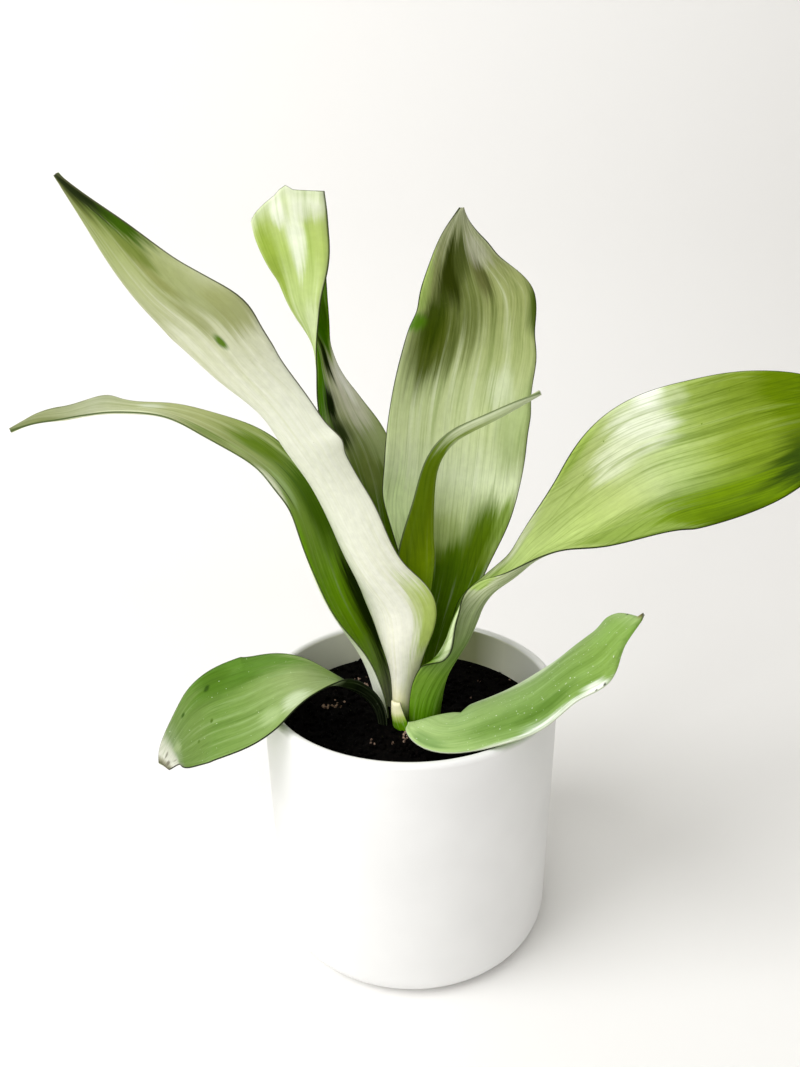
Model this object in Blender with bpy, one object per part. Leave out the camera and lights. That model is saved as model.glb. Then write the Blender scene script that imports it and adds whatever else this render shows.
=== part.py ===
# Potted snake plant: a round white glazed pot, its soil, a rhizome and eight standing leaves.
import math

import bmesh
import bpy
import numpy as np
from mathutils import Vector, noise

MM = 0.001

# Pot, in millimetres: a slightly flared cylinder with a rounded foot and lip.
POT_HEIGHT = 125.0
POT_RIM_RADIUS = 70.0
POT_FOOT_RADIUS = 68.6
POT_FOOT_ROUND = 5.0
POT_WALL = 4.5
POT_FLOOR = 6.0
POT_INSIDE_ROUND = 8.0
POT_SIDES = 84

# Soil: it fills the pot to 20 mm below the rim and leaves a round well for the crown.
SOIL_TOP = 105.0
SOIL_MOUND = 3.0
SOIL_BUMP = 1.2
SOIL_BUMP_SPACING = 7.0
SOIL_RINGS = 9
SOIL_SIDES = 72
WELL_RADIUS = 21.0
WELL_FLOOR = 84.0

# Rhizome: the buried rootstock under the leaves, its top flat where they grow from it.
RHIZOME_RADIUS = 17.0
RHIZOME_ROUND = 4.0
RHIZOME_TOP = 98.0
RHIZOME_SIDES = 32
GAP = 0.3
LEAF_FOOT = RHIZOME_TOP + GAP

# Leaves: rows along a leaf lie this far apart, and this many strips lie across it. A blade
# thins towards its margins. Ripples grow to full height over the first stretch of a leaf,
# and a torn end is uneven over its last stretch.
LEAF_ROW = 6.0
LEAF_STRIPS = 8
LEAF_THICKNESS = 2.4
MARGIN_SHARE = 0.45
RIPPLE_START = 80.0
TEAR_REACH = 40.0

# A leaf's heading is the compass direction that it leans to, in degrees from +X towards +Y.
# Its stations run from foot to tip. Each is the point between the two margins (x, y, z),
# the width from margin to margin, the twist in degrees and the depth of the trough.
# A negative depth makes the leaf arch over instead. A wave is a ripple of the margins, as
# its height and length. A lobe is a bulge of one margin, or a dent where its reach is
# negative: (distance from the foot, 1 for the left or -1 for the right margin, reach, length).
LEAVES = {
    "leaf_front_left": {
        "heading": 195,
        "trough": 1.8,
        "wave": (0.6, 60),
        "lobes": [(166, 1, 3, 9), (143, 1, -2, 12), (118, -1, -2, 15)],
        "stations": [
            (-3, -5, LEAF_FOOT, 10, 30, 3),
            (-4, -7, 115, 9, 40, 4),
            (-3, -8, 135, 14, 50, 5),
            (-2, -9, 150, 23, 50, 6),
            (-3, -10, 169, 33, 50, 7),
            (-12, -14, 188, 36, 40, 7),
            (-23, -18, 211, 38, 30, 7),
            (-33, -23, 234, 38, 30, 8),
            (-41, -28, 250, 36, 30, 8),
            (-51, -33, 266, 35, 30, 8),
            (-62, -37, 281, 43, 35, 8),
            (-76, -45, 298, 46, 35, 8),
            (-86, -48, 308, 38, 35, 7),
            (-101, -51, 326, 21, 35, 3),
            (-112, -52, 340, 7, 35, 1),
            (-117, -52, 346, 2, 35, 0),
        ],
    },
    "leaf_arching_left": {
        "heading": 180,
        "trough": 1.6,
        "wave": (0.5, 45),
        "lobes": [(247, -1, 3, 6)],
        "stations": [
            (-9, 0, LEAF_FOOT, 12, -5, 4),
            (-9, -1, 117, 13, -10, 6),
            (-17, -2, 141, 21, -15, 7),
            (-27, -3, 166, 29, -20, 8),
            (-37, -3, 194, 35, -20, 7),
            (-47, -3, 221, 38, -10, 5),
            (-57, -2, 234, 40, -5, 5),
            (-71, -1, 243, 38, -5, 5),
            (-85, -1, 251, 31, -5, 3),
            (-102, -1, 257, 24, 0, 2),
            (-119, -1, 259, 18, -5, 2),
            (-133, 0, 259, 14, -20, 2),
            (-148, 0, 256, 8, -25, 2),
            (-160, 0, 254, 6, -30, 1),
            (-171, 0, 250, 2, -30, 0),
        ],
    },
    "leaf_back_left_torn": {
        "heading": 130,
        "trough": 1.6,
        "wave": (0.5, 70),
        "lobes": [],
        "torn": [(-1, -12), (0, -9), (0.5, 1), (0.7, 6), (0.8, 3), (1, -4)],
        "stations": [
            (-7, 10, LEAF_FOOT, 11, 0, 4),
            (-8, 14, 125, 17, -10, 6),
            (-18, 22, 211, 34, -20, 9),
            (-25, 26, 238, 37, -5, 8),
            (-32, 28, 255, 30, 15, 6),
            (-37, 29, 278, 26, 35, 5),
            (-36, 31, 300, 29, 50, 16),
            (-32, 33, 316, 30, 55, 27),
            (-34, 35, 332, 30, 55, 31),
            (-37, 36, 345, 28, 55, 30),
        ],
    },
    "leaf_back": {
        "heading": 80,
        "trough": 2.0,
        "wave": (1.2, 42),
        "lobes": [
            (200, 1, -2, 8), (216, 1, 3, 8), (236, 1, 2, 10),
            (168, -1, 2, 10), (206, -1, 2, 6), (222, -1, -3, 7),
        ],
        "stations": [
            (3, 8, LEAF_FOOT, 16, 0, 4),
            (4, 10, 116, 20, 0, 5),
            (16, 14, 170, 36, 10, 7),
            (19, 18, 199, 56, 10, 7),
            (22, 22, 228, 65, 10, 7),
            (25, 27, 255, 65, 10, 6),
            (28, 31, 279, 60, 10, 6),
            (31, 36, 301, 51, 10, 5),
            (28, 42, 314, 37, 15, 4),
            (26, 45, 327, 18, 15, 2),
            (25, 47, 338, 2, 15, 0),
        ],
    },
    "leaf_young": {
        "heading": 350,
        "trough": 1.6,
        "wave": (0, 50),
        "lobes": [],
        "stations": [
            (1, 3, LEAF_FOOT, 7, 0, 3),
            (1, 3, 118, 10, 0, 4),
            (-1, 3, 155, 14, 0, 9),
            (-5, 2, 192, 17, 5, 15),
            (4, 1, 216, 15, 0, 10),
            (11, -2, 237, 12, 0, 7),
            (20, -5, 247, 11, -5, 5),
            (33, -8, 255, 10, -10, 3),
            (43, -12, 260, 7, -10, 2),
            (54, -16, 265, 2, -10, 0),
        ],
    },
    "leaf_right": {
        "heading": 350,
        "trough": 1.6,
        "wave": (0.6, 50),
        "lobes": [],
        "stations": [
            (6, -7, LEAF_FOOT, 18, -50, 5),
            (8, -8, 123, 21, -45, 6),
            (10, -7, 139, 25, -25, 8),
            (17, -8, 157, 25, -10, 11),
            (22, -11, 172, 23, -10, 11),
            (33, -14, 185, 19, -10, 7),
            (44, -16, 190, 16, 10, 5),
            (52, -15, 198, 16, 30, 5),
            (63, -12, 204, 23, 50, 8),
            (77, -9, 213, 37, 65, 8),
            (91, -6, 222, 52, 65, 8),
            (108, -3, 231, 64, 60, 8),
            (129, -2, 237, 66, 60, 8),
            (152, -1, 243, 60, 60, 7),
            (170, -1, 249, 48, 55, 5),
            (185, -1, 252, 33, 50, 3),
            (197, -1, 254, 14, 50, 1),
            (204, -1, 254, 2, 50, 0),
        ],
    },
    "leaf_low_left": {
        "heading": 195,
        "trough": 2.0,
        "wave": (0.4, 40),
        "lobes": [],
        "stations": [
            (-12, -10, LEAF_FOOT, 7, 0, 2),
            (-13, -10, 114, 7, 0, 2),
            (-18, -11, 127, 10, 0, 2),
            (-27, -11, 134, 17, 10, 3),
            (-39, -14, 138, 29, 5, 3),
            (-51, -17, 138, 43, 0, 3),
            (-63, -20, 135, 55, -5, 3),
            (-76, -23, 130, 60, -10, 3),
            (-90, -23, 122, 59, -10, 3),
            (-101, -24, 113, 50, -10, 2),
            (-108, -26, 106, 34, -5, 2),
            (-113, -30, 99, 10, -15, 1),
        ],
    },
    "leaf_low_right": {
        "heading": 340,
        "trough": 2.0,
        "wave": (0.4, 40),
        "lobes": [],
        "stations": [
            (5, -17, LEAF_FOOT, 9, -70, 1),
            (4, -17, 109, 11, -60, 1),
            (8, -21, 116, 21, -25, -1),
            (17, -32, 119, 37, -5, -4),
            (28, -36, 122, 43, 0, -5),
            (43, -38, 129, 44, 5, -5),
            (58, -40, 139, 44, 10, -5),
            (72, -41, 150, 42, 10, -5),
            (82, -41, 160, 38, 15, -4),
            (87, -41, 168, 31, 20, -3),
            (92, -41, 176, 18, 30, -1),
        ],
    },
    "cut_leaf_stub": {
        "heading": 230,
        "trough": 2.0,
        "wave": (0, 40),
        "lobes": [],
        "stations": [
            (-5, -13, LEAF_FOOT, 6, 0, 1),
            (-5, -13, 110, 7, 0, 1),
            (-5, -14, 120, 4, 0, 1),
        ],
    },
}


def clear_scene():
    for thing in list(bpy.data.objects):
        bpy.data.objects.remove(thing, do_unlink=True)


def material(name, colour, roughness, metallic=0.0):
    made = bpy.data.materials.new(name)
    made.use_nodes = True
    made.diffuse_color = (*colour, 1.0)
    shader = made.node_tree.nodes["Principled BSDF"]
    shader.inputs["Base Color"].default_value = (*colour, 1.0)
    shader.inputs["Roughness"].default_value = roughness
    shader.inputs["Metallic"].default_value = metallic
    return made


def finished(name, mesh, look):
    shape = bpy.data.meshes.new(name)
    bmesh.ops.recalc_face_normals(mesh, faces=mesh.faces)
    mesh.to_mesh(shape)
    mesh.free()
    shape.materials.append(look)
    for face in shape.polygons:
        face.use_smooth = True
    made = bpy.data.objects.new(name, shape)
    bpy.context.scene.collection.objects.link(made)
    return made


def arc(centre_x, centre_z, radius, start, end, steps):
    turns = [math.radians(start + (end - start) * step / steps) for step in range(steps + 1)]
    return [(centre_x + radius * math.cos(a), centre_z + radius * math.sin(a)) for a in turns]


def revolved(profile, sides):
    mesh = bmesh.new()
    verts = [mesh.verts.new((x * MM, 0, z * MM)) for x, z in profile]
    edges = [mesh.edges.new(pair) for pair in zip(verts, verts[1:])]
    bmesh.ops.spin(
        mesh, geom=verts + edges, cent=(0, 0, 0), axis=(0, 0, 1),
        angle=math.tau, steps=sides, use_merge=True,
    )
    bmesh.ops.remove_doubles(mesh, verts=mesh.verts, dist=1e-6)
    return mesh


def pot_inside_radius(height):
    slope = (POT_RIM_RADIUS - POT_FOOT_RADIUS) / POT_HEIGHT
    return POT_FOOT_RADIUS + slope * height - POT_WALL


def make_pot():
    lip = POT_WALL / 2
    foot = POT_FOOT_ROUND
    inner = POT_INSIDE_ROUND
    inner_x = pot_inside_radius(POT_FLOOR + inner) - inner
    outside = arc(POT_FOOT_RADIUS - foot, foot, foot, -90, 0, 5)
    rim = arc(POT_RIM_RADIUS - lip, POT_HEIGHT - lip, lip, 0, 180, 8)
    corner = arc(inner_x, POT_FLOOR + inner, inner, 0, -90, 5)
    profile = [(0, 0), *outside, *rim, *corner, (0, POT_FLOOR)]
    look = material("white_glaze", (0.78, 0.77, 0.75), 0.3)
    return finished("pot", revolved(profile, POT_SIDES), look)


def make_soil():
    base_z = POT_FLOOR + GAP
    inner = POT_INSIDE_ROUND + GAP
    wall_x = pot_inside_radius(SOIL_TOP) - GAP
    foot_x = pot_inside_radius(base_z + inner) - GAP
    corner = arc(foot_x - inner, base_z + inner, inner, -90, 0, 4)
    steps = [ring / SOIL_RINGS for ring in range(SOIL_RINGS + 1)]
    across = [wall_x + (WELL_RADIUS - wall_x) * step for step in steps]
    top = [(x, SOIL_TOP + SOIL_MOUND * step) for x, step in zip(across, steps)]
    well = [(WELL_RADIUS, WELL_FLOOR), (0, WELL_FLOOR)]
    mesh = revolved([(0, base_z), *corner, *top, *well], SOIL_SIDES)
    for vert in mesh.verts:
        reach = math.hypot(vert.co.x, vert.co.y) / MM
        inward = (wall_x - reach) * (reach - WELL_RADIUS)
        if vert.co.z > (SOIL_TOP - 1) * MM and inward > 1:
            spot = vert.co / (SOIL_BUMP_SPACING * MM)
            vert.co.z += SOIL_BUMP * MM * noise.noise(spot)
    look = material("potting_soil", (0.012, 0.009, 0.007), 0.95)
    return finished("soil", mesh, look)


def make_rhizome():
    edge = RHIZOME_ROUND
    base_z = WELL_FLOOR + GAP
    low = arc(RHIZOME_RADIUS - edge, base_z + edge, edge, -90, 0, 3)
    high = arc(RHIZOME_RADIUS - edge, RHIZOME_TOP - edge, edge, 0, 90, 3)
    profile = [(0, base_z), *low, *high, (0, RHIZOME_TOP)]
    look = material("rhizome_skin", (0.55, 0.32, 0.12), 0.8)
    return finished("rhizome", revolved(profile, RHIZOME_SIDES), look)


def smooth(knots, values, at):
    # A natural cubic spline through the values.
    count = len(knots)
    step = np.diff(knots)
    rise = np.diff(values, axis=0) / step[:, None]
    matrix = np.eye(count)
    right = np.zeros_like(values)
    for i in range(1, count - 1):
        matrix[i, i - 1:i + 2] = step[i - 1], 2 * (step[i - 1] + step[i]), step[i]
        right[i] = 6 * (rise[i] - rise[i - 1])
    bend = np.linalg.solve(matrix, right)
    low = np.clip(np.searchsorted(knots, at, side="right") - 1, 0, count - 2)
    x = (at - knots[low])[:, None]
    span = step[low][:, None]
    slope = rise[low] - span * (2 * bend[low] + bend[low + 1]) / 6
    cubic = (bend[low + 1] - bend[low]) / (6 * span)
    return values[low] + x * slope + x**2 * bend[low] / 2 + x**3 * cubic


def unit(vectors):
    return vectors / np.linalg.norm(vectors, axis=1)[:, None]


def leaf_rows(leaf):
    stations = np.array(leaf["stations"], float)
    legs = np.linalg.norm(np.diff(stations[:, :3], axis=0), axis=1)
    knots = np.concatenate([[0], np.cumsum(legs)])
    count = max(4, round(knots[-1] / LEAF_ROW))
    at = np.linspace(0, knots[-1], count + 1)
    rows = smooth(knots, stations, at)
    middle, width, twist, depth = rows[:, :3], rows[:, 3], rows[:, 4], rows[:, 5]
    along = unit(np.gradient(middle, at, axis=0))
    along[0] = 0, 0, 1
    heading = math.radians(leaf["heading"])
    side = np.array([-math.sin(heading), math.cos(heading), 0])
    level = unit(side - (along @ side)[:, None] * along)
    upward = np.cross(along, level)
    turn = np.radians(twist)[:, None]
    across = level * np.cos(turn) + upward * np.sin(turn)
    return at, middle, along, across, np.cross(along, across), width, depth


def margin_reach(leaf, distance, share):
    reach = 0
    for middle, side, height, length in leaf["lobes"]:
        if side * share > 0:
            reach += side * height * math.exp(-(((distance - middle) / length) ** 2))
    return reach * share**2


def leaf_point(rows, index, share, leaf):
    at, middle, along, across, inner, width, depth = rows
    height, length = leaf["wave"]
    ripple = height * math.sin(math.tau * at[index] / length + share) * abs(share) ** 3
    ripple *= min(1, at[index] / RIPPLE_START)
    lift = ripple - depth[index] * (1 - abs(share) ** leaf["trough"])
    spread = share * width[index] / 2 + margin_reach(leaf, at[index], share)
    point = middle[index] + across[index] * spread + inner[index] * lift
    if "torn" in leaf:
        shares, lengths = zip(*leaf["torn"])
        fade = max(0, 1 - (at[-1] - at[index]) / TEAR_REACH)
        point = point + along[index] * np.interp(share, shares, lengths) * fade
    return Vector(point) * MM


def make_leaf(name, leaf, look):
    rows = leaf_rows(leaf)
    count = len(rows[0]) - 1
    mesh = bmesh.new()
    bmesh.ops.create_grid(mesh, x_segments=LEAF_STRIPS, y_segments=count, size=1)
    bmesh.ops.triangulate(mesh, faces=mesh.faces)
    thick = mesh.verts.layers.deform.verify()
    for vert in mesh.verts:
        share = vert.co.x
        index = round((vert.co.y + 1) / 2 * count)
        vert[thick][0] = 1 - (1 - MARGIN_SHARE) * abs(share) ** 2
        vert.co = leaf_point(rows, index, share, leaf)
    shape = bpy.data.meshes.new(name)
    mesh.to_mesh(shape)
    mesh.free()
    shape.materials.append(look)
    for face in shape.polygons:
        face.use_smooth = True
    made = bpy.data.objects.new(name, shape)
    bpy.context.scene.collection.objects.link(made)
    made.vertex_groups.new(name="thickness")
    shell = made.modifiers.new("blade", "SOLIDIFY")
    shell.thickness = LEAF_THICKNESS * MM
    shell.offset = 0
    shell.vertex_group = "thickness"
    shell.thickness_vertex_group = 0
    return made


def main():
    clear_scene()
    make_pot()
    make_soil()
    make_rhizome()
    colours = {
        "leaf_front_left": (0.62, 0.66, 0.46),
        "leaf_arching_left": (0.19, 0.30, 0.09),
        "leaf_back_left_torn": (0.36, 0.50, 0.14),
        "leaf_back": (0.34, 0.42, 0.20),
        "leaf_young": (0.16, 0.24, 0.02),
        "leaf_right": (0.30, 0.46, 0.08),
        "leaf_low_left": (0.18, 0.36, 0.09),
        "leaf_low_right": (0.22, 0.40, 0.14),
        "cut_leaf_stub": (0.66, 0.62, 0.34),
    }
    for name, leaf in LEAVES.items():
        make_leaf(name, leaf, material(name + "_skin", colours[name], 0.45))


main()
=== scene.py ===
import math
import random

import bmesh
import bpy
import numpy as np
from mathutils import Matrix, Vector, noise


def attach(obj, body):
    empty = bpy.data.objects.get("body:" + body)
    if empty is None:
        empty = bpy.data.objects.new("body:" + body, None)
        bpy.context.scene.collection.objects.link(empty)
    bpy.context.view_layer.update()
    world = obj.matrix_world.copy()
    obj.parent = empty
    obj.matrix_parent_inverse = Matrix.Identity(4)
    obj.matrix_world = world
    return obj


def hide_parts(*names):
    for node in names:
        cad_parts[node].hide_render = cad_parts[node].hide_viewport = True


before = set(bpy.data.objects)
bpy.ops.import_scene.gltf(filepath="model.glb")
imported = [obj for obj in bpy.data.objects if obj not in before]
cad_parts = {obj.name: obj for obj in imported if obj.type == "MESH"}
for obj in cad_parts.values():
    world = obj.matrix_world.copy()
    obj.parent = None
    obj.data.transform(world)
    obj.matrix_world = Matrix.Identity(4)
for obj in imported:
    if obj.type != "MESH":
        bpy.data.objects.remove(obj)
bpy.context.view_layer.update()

mm = 0.001
seed = 7  # for the places of the crumbs and for their dents
random.seed(seed)
noise.seed_set(seed)


def linear(hexColour):
    # sRGB hex to linear red, green and blue
    values = [int(hexColour[i:i + 2], 16) / 255 for i in (1, 3, 5)]
    return [v / 12.92 if v <= 0.04045 else ((v + 0.055) / 1.055) ** 2.4 for v in values] + [1.0]


def addNode(tree, kind, values=None, links=None, stops=None, **settings):
    # one node with its settings, socket values, links and ramp stops
    node = tree.nodes.new(kind)
    for key, value in settings.items():
        setattr(node, key, value)
    for key, value in (values or {}).items():
        node.inputs[key].default_value = value
    for key, source in (links or {}).items():
        tree.links.new(source, node.inputs[key])
    if stops:
        ramp = node.color_ramp
        while len(ramp.elements) < len(stops):
            ramp.elements.new(0.5)
        for element, (place, hexColour) in zip(ramp.elements, stops):
            element.position = place
            element.color = linear(hexColour)
    return node


def newMaterial(name, **sockets):
    made = bpy.data.materials.new(name)
    made.use_nodes = True
    shader = made.node_tree.nodes["Principled BSDF"]
    for key, value in sockets.items():
        shader.inputs[key.replace("_", " ")].default_value = value
    return made, made.node_tree, shader


def objectPlace(tree):
    return addNode(tree, "ShaderNodeTexCoord").outputs["Object"]


def addNoise(tree, place, size, detail):
    # an even noise, its size in millimetres
    values = {"Scale": 1 / (size * mm), "Detail": detail}
    return addNode(tree, "ShaderNodeTexNoise", values, {"Vector": place}).outputs["Fac"]


def addRamp(tree, source, stops):
    return addNode(tree, "ShaderNodeValToRGB", None, {"Fac": source}, stops=stops).outputs["Color"]


def remap(tree, source, start, end, low, high, curve="LINEAR"):
    limits = {"From Min": start, "From Max": end, "To Min": low, "To Max": high}
    made = addNode(tree, "ShaderNodeMapRange", limits, {"Value": source}, interpolation_type=curve)
    return made.outputs["Result"]


def mixColours(tree, amount, under, over, blend="MIX"):
    # over is a hex colour or a socket. On this node 0 is the amount, 6 and 7 are the two
    # colours, and output 2 is the mixed one.
    values, links = {}, {0: amount, 6: under}
    if isinstance(over, str):
        values[7] = linear(over)
    else:
        links[7] = over
    return addNode(tree, "ShaderNodeMix", values, links, data_type="RGBA", blend_type=blend).outputs[2]


def addBump(tree, shader, height, strength, distance):
    # the distance is in millimetres
    bump = addNode(tree, "ShaderNodeBump", {"Strength": strength, "Distance": distance * mm}, {"Height": height})
    tree.links.new(bump.outputs["Normal"], shader.inputs["Normal"])


def addPiece(name, shape, look, slot, *nodes):
    for face in shape.polygons:
        face.use_smooth = True
    shape.materials.append(look)
    piece = bpy.data.objects.new(name, shape)
    bpy.context.scene.collection.objects.link(piece)
    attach(piece, "root")
    if nodes:
        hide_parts(*nodes)


def meshOf(name, mesh):
    shape = bpy.data.meshes.new(name)
    mesh.to_mesh(shape)
    mesh.free()
    return shape


def arc(centreX, centreZ, radius, start, end, steps):
    turns = [math.radians(start + (end - start) * step / steps) for step in range(steps + 1)]
    return [(centreX + radius * math.cos(a), centreZ + radius * math.sin(a)) for a in turns]


def revolved(profile, sides):
    mesh = bmesh.new()
    verts = [mesh.verts.new((x * mm, 0, z * mm)) for x, z in profile]
    edges = [mesh.edges.new(pair) for pair in zip(verts, verts[1:])]
    bmesh.ops.spin(
        mesh, geom=verts + edges, cent=(0, 0, 0), axis=(0, 0, 1),
        angle=math.tau, steps=sides, use_merge=True,
    )
    bmesh.ops.remove_doubles(mesh, verts=mesh.verts, dist=1e-6)
    bmesh.ops.recalc_face_normals(mesh, faces=mesh.faces)
    return mesh


# Camera: the photo's view, found from the pot's rim and base
view = {
    "focalPixels": 830.0, "frameHeight": 1067, "place": (-3.8, -353.6, 322.0),
    "pitch": 19.1, "roll": -0.75, "sensor": 36, "nearest": 0.01,
}


def makeCamera():
    lens = bpy.data.cameras.new("photoCamera")
    lens.sensor_width = view["sensor"]
    lens.lens = view["sensor"] * view["focalPixels"] / view["frameHeight"]
    lens.clip_start = view["nearest"]
    camera = bpy.data.objects.new("photoCamera", lens)
    tilt = Matrix.Rotation(math.radians(90 - view["pitch"]), 4, "X")
    roll = Matrix.Rotation(math.radians(view["roll"]), 4, "Z")
    camera.matrix_world = Matrix.Translation(Vector(view["place"]) * mm) @ tilt @ roll
    bpy.context.scene.collection.objects.link(camera)
    bpy.context.scene.camera = camera


makeCamera()
print("camera placed")

# Pot: a slip-cast cylinder, slightly flared, with a satin white glaze. Sizes are in millimetres.
# Its inside has painted shade, a greenish darkening towards the right wall, given as tints from the left wall to the
# right one.
pot = {
    "height": 125.0, "rimRadius": 70.0, "footRadius": 68.0, "footRound": 10.0,
    "wall": 4.5, "floor": 6.0, "insideRound": 8.0, "insideSlack": 0.3,
    "sides": 240, "footSteps": 12, "lipSteps": 18, "cornerSteps": 10,
    "glaze": [(0.3, "#e9e9e8"), (0.7, "#eeeeed")], "cloud": 30.0, "peel": 4.0, "peelBump": (0.15, 0.05),
    # the inside tints are painted shade: greenish, darkest near the right wall
    "insidePaintedShade": [
        (0.0, "#ffffff"), (0.45, "#ffffe6"), (0.68, "#a5a97c"), (0.76, "#adb188"), (0.86, "#fdfdea"), (1.0, "#ffffff"),
    ],
}


def potInsideRadius(height):
    slope = (pot["rimRadius"] - pot["footRadius"]) / pot["height"]
    return pot["footRadius"] + slope * height - pot["wall"]


def whiteGlaze():
    # Glazed earthenware, dipped: a smooth satin coat with faint clouds and a fine orange peel
    look, tree, shader = newMaterial("satinWhiteGlaze", Roughness=0.34, IOR=1.5)
    place = objectPlace(tree)
    tone = addRamp(tree, addNoise(tree, place, pot["cloud"], 2.0), pot["glaze"])
    inside = addNode(tree, "ShaderNodeAttribute", attribute_name="insideWall").outputs["Fac"]
    # painted shade on the inside wall, a greenish darkening towards the right wall
    spot = addNode(tree, "ShaderNodeSeparateXYZ", None, {"Vector": place})
    reach = pot["rimRadius"] * mm
    paintedShade = addRamp(tree, remap(tree, spot.outputs["X"], -reach, reach, 0.0, 1.0), pot["insidePaintedShade"])
    tinted = mixColours(tree, inside, tone, paintedShade, "MULTIPLY")
    tree.links.new(tinted, shader.inputs["Base Color"])
    addBump(tree, shader, addNoise(tree, place, pot["peel"], 1.0), *pot["peelBump"])
    return look


def makePot():
    lip = pot["wall"] / 2
    foot = pot["footRound"]
    inner = pot["insideRound"]
    innerX = potInsideRadius(pot["floor"] + inner) - inner
    outside = arc(pot["footRadius"] - foot, foot, foot, -90, 0, pot["footSteps"])
    rim = arc(pot["rimRadius"] - lip, pot["height"] - lip, lip, 0, 180, pot["lipSteps"])
    corner = arc(innerX, pot["floor"] + inner, inner, 0, -90, pot["cornerSteps"])
    mesh = revolved([(0, 0), *outside, *rim, *corner, (0, pot["floor"])], pot["sides"])
    shape = meshOf("glazedPot", mesh)
    inside = shape.attributes.new("insideWall", "FLOAT", "POINT")
    edge = (pot["rimRadius"] - pot["wall"] + pot["insideSlack"]) * mm
    for vert, value in zip(shape.vertices, inside.data):
        within = math.hypot(vert.co.x, vert.co.y) < edge
        value.value = float(within and vert.co.z > pot["floor"] * mm - 1e-6)
    addPiece("glazedPot", shape, whiteGlaze(), "white_glaze", "pot")


makePot()
print("pot made")

# Soil: dark peat, loose and crumbly, drawn up round the crown. Sizes are in millimetres. Each
# lump has its height, the level that it is cut from its noise at, and its size. Each cluster
# of pale bark has its middle, its spread and how many bits it has.
soil = {
    "top": 105.0, "bottom": 30.0, "mound": 3.0, "moundWidth": 45.0, "bump": 1.2, "bumpSpacing": 7.0,
    "lumps": [(0.7, 50, 2.2), (0.4, 90, 0.9)], "rings": 58, "sides": 260, "gap": 0.3, "edge": 0.1,
    "batches": 34, "crumbs": 25, "crown": 9, "wallClear": 2, "crumbSize": (0.5, 1.6), "barkSize": (0.35, 0.85),
    "stretch": (0.7, 1.3), "squash": (0.6, 1), "lift": 0.3, "dent": 0.22, "dentSpacing": 0.9,
    "grain": 1.6, "grainBump": (0.8, 0.6),
    "bark": [
        (-37, 8.5, 2.4, 14), (-41, 7.5, 1.2, 6), (-27, 35, 3, 9), (-23, 28, 1.4, 8),
        (-2.2, -22.5, 1.1, 12), (-17, -27, 1.5, 3), (-7.5, -28, 1.2, 2), (30, 20, 14, 5),
    ],
}


def peat():
    # Potting peat: nearly black, rough, the light lost between its crumbs, with bits of bark
    look, tree, shader = newMaterial("dampPeat", Roughness=0.95, Specular_IOR_Level=0.04)
    grain = addNoise(tree, objectPlace(tree), soil["grain"], 4.0)
    dark = addRamp(tree, grain, [(0.35, "#020202"), (0.65, "#0a0706")])
    wood = addRamp(tree, grain, [(0.35, "#3a2c22"), (0.6, "#b09484")])
    pale = addNode(tree, "ShaderNodeAttribute", attribute_name="paleCrumb").outputs["Fac"]
    tree.links.new(mixColours(tree, pale, dark, wood), shader.inputs["Base Color"])
    addBump(tree, shader, grain, *soil["grainBump"])
    return look


def soilHeight(x, y):
    wall = potInsideRadius(soil["top"]) - soil["gap"]
    reach = math.hypot(x, y)
    height = soil["top"] + soil["mound"] * min(1, (wall - reach) / soil["moundWidth"])
    if wall - reach > soil["edge"]:
        height += soil["bump"] * noise.noise(Vector((x, y, height)) / soil["bumpSpacing"])
        for rise, level, size in soil["lumps"]:
            height += rise * noise.noise(Vector((x, y, level)) / size)
    return height


def makeSoil(look):
    wall = potInsideRadius(soil["top"]) - soil["gap"]
    rings = soil["rings"]
    steps = [(wall * (1 - ring / rings), soil["top"]) for ring in range(rings + 1)]
    mesh = revolved([(0, soil["bottom"]), (wall, soil["bottom"]), *steps], soil["sides"])
    for vert in mesh.verts:
        if vert.co.z > (soil["top"] - 1) * mm:
            vert.co.z = soilHeight(vert.co.x / mm, vert.co.y / mm) * mm
    addPiece("pottingSoil", meshOf("pottingSoil", mesh), look, "potting_soil", "soil")


def addCrumb(mesh, x, y, size, pale):
    grown = bmesh.ops.create_icosphere(mesh, subdivisions=2, radius=size * mm)
    spin = Matrix.Rotation(random.uniform(0, math.tau), 4, Vector((random.random(), random.random(), 1)))
    sides = random.uniform(*soil["stretch"]), random.uniform(*soil["stretch"])
    stretch = Matrix.Diagonal((*sides, random.uniform(*soil["squash"]), 1))
    place = Matrix.Translation(Vector((x, y, soilHeight(x, y) + size * soil["lift"])) * mm)
    bmesh.ops.transform(mesh, matrix=place @ spin @ stretch, verts=grown["verts"])
    layer = mesh.verts.layers.float["paleCrumb"]
    for vert in grown["verts"]:
        vert.co += noise.noise_vector(vert.co / (soil["dentSpacing"] * mm)) * soil["dent"] * size * mm
        vert[layer] = pale


def newCrumbs():
    mesh = bmesh.new()
    mesh.verts.layers.float.new("paleCrumb")
    return mesh


def joinCrumbs(whole, mesh):
    batch = meshOf("crumbs", mesh)
    whole.from_mesh(batch)
    bpy.data.meshes.remove(batch)


def makeCrumbs(look):
    # built a few dozen at a time, because one growing mesh gets slow
    whole = newCrumbs()
    outer = potInsideRadius(soil["top"]) - soil["wallClear"]
    for _ in range(soil["batches"]):
        mesh = newCrumbs()
        for _ in range(soil["crumbs"]):
            reach = math.sqrt(random.uniform(soil["crown"]**2, outer**2))
            turn = random.uniform(0, math.tau)
            x, y = reach * math.cos(turn), reach * math.sin(turn)
            addCrumb(mesh, x, y, random.uniform(*soil["crumbSize"]), 0.0)
        joinCrumbs(whole, mesh)
    for middleX, middleY, spread, count in soil["bark"]:
        mesh = newCrumbs()
        for _ in range(count):
            place = middleX + random.gauss(0, spread), middleY + random.gauss(0, spread)
            addCrumb(mesh, *place, random.uniform(*soil["barkSize"]), 1.0)
        joinCrumbs(whole, mesh)
    addPiece("soilCrumbs", meshOf("soilCrumbs", whole), look, "potting_soil")


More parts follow.
